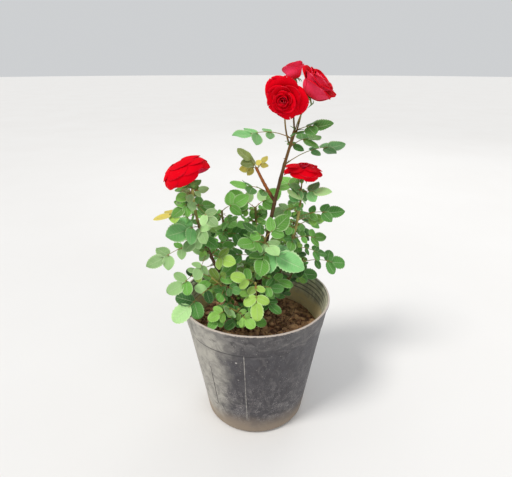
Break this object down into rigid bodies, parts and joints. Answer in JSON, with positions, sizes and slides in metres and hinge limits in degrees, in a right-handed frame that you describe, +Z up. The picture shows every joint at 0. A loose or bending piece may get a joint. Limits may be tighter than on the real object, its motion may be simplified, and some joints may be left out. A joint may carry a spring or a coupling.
{
  "type": "potted rose bush",
  "caption": "Potted rose bush: a round tapered nursery pot full of soil, a short main stem, thin canes, leafy shoots and open double roses; stands on the pot's flat underside.",
  "frame": {"origin": "centre of the pot's flat underside, on the surface that the pot stands on", "axes": "+Z up, along the pot's axis; -Y towards the side that is seen in the picture; +X to the right in that view"},
  "size_m": [0.2829, 0.2202, 0.5191],
  "materials": {
    "pot_plastic": "weathered, scratched and dusty",
    "soil": "dry crumbly potting soil",
    "bark": "young bark, dull",
    "leaf": "soft sheen",
    "petal": "velvety"
  },
  "bodies": {
    "root": {"cane_back_left": "bark", "cane_back_low": "bark", "cane_back_middle": "bark", "cane_back_right": "bark", "cane_back_side": "bark", "cane_left": "bark", "cane_low_front": "bark", "cane_low_left": "bark", "cane_low_near": "bark", "cane_low_right": "bark", "cane_middle": "bark", "cane_right": "bark", "cane_tall": "bark", "main_stem": "bark", "pot": "pot_plastic", "rose_behind": "petal", "rose_front": "petal", "rose_left": "petal", "rose_low": "petal", "rose_right": "petal", "shoot_back_left": "leaf", "shoot_back_low": "leaf", "shoot_back_middle": "leaf", "shoot_back_right": "leaf", "shoot_back_side": "leaf", "shoot_left": "leaf", "shoot_low_front": "leaf", "shoot_low_left": "leaf", "shoot_low_near": "leaf", "shoot_low_right": "leaf", "shoot_middle": "leaf", "shoot_old": "leaf", "shoot_right": "leaf", "shoot_tall": "leaf", "soil": "soil"}
  },
  "joints": []
}
